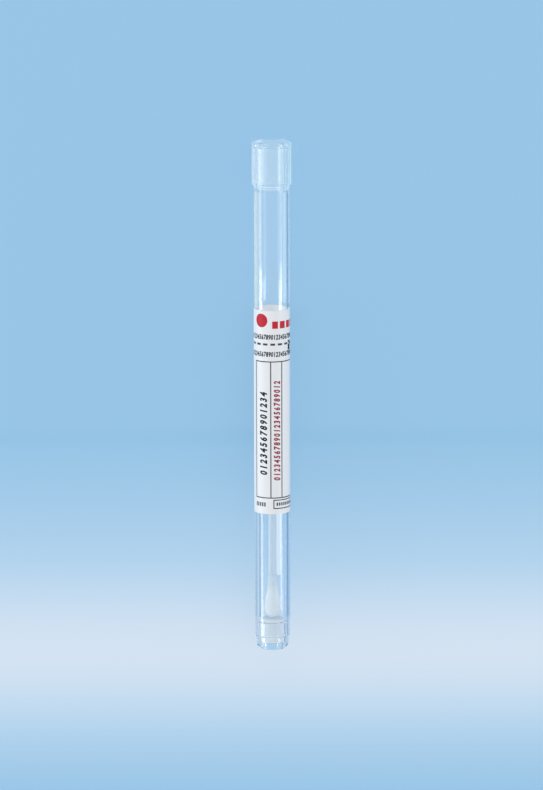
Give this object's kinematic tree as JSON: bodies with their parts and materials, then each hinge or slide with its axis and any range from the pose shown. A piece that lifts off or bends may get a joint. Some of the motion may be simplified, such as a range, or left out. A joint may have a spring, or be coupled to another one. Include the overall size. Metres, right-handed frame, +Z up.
{
  "type": "specimen swab tube",
  "caption": "Dry swab in a clear plastic tube: a hollow handle with a stopper cap pulls out of a vented sample tube, with a white label wrapped round where they meet.",
  "frame": {"origin": "middle of the bounding box's bottom face, on the surface that the tube lies on", "axes": "+X runs along the tube from the foot to the cap, +Z is up, and the label's printed side faces +Z; the axis rises a quarter of a degree towards the cap, which is wider than the tube"},
  "size_m": [0.1754, 0.0134, 0.0134],
  "materials": {
    "clear_plastic": "glass-clear, polished",
    "foot_plastic": "clear, smooth",
    "porous_filter": "white, porous",
    "label_film": "white film, semi-gloss",
    "handle_plastic": "clear, very slightly milky",
    "shaft_plastic": "translucent white",
    "swab_fibre": "wound white fibre",
    "cap_plastic": "natural, slightly milky"
  },
  "bodies": {
    "tube": {"sample_tube": "clear_plastic", "foot_plug": "foot_plastic", "vent_filter": "porous_filter", "label_panel": "label_film"},
    "handle": {"handle_tube": "handle_plastic", "swab_shaft": "shaft_plastic", "swab_tip": "swab_fibre", "label_strip": "label_film"},
    "stopper": {"cap": "cap_plastic"}
  },
  "joints": [
    {"name": "handle_slide", "type": "slide", "parent": "tube", "child": "handle", "axis": [1, 0, 0.0045], "range_m": [0, 0.11]},
    {"name": "cap_slide", "type": "slide", "parent": "handle", "child": "stopper", "axis": [1, 0, 0.0045], "range_m": [0, 0.03]}
  ]
}
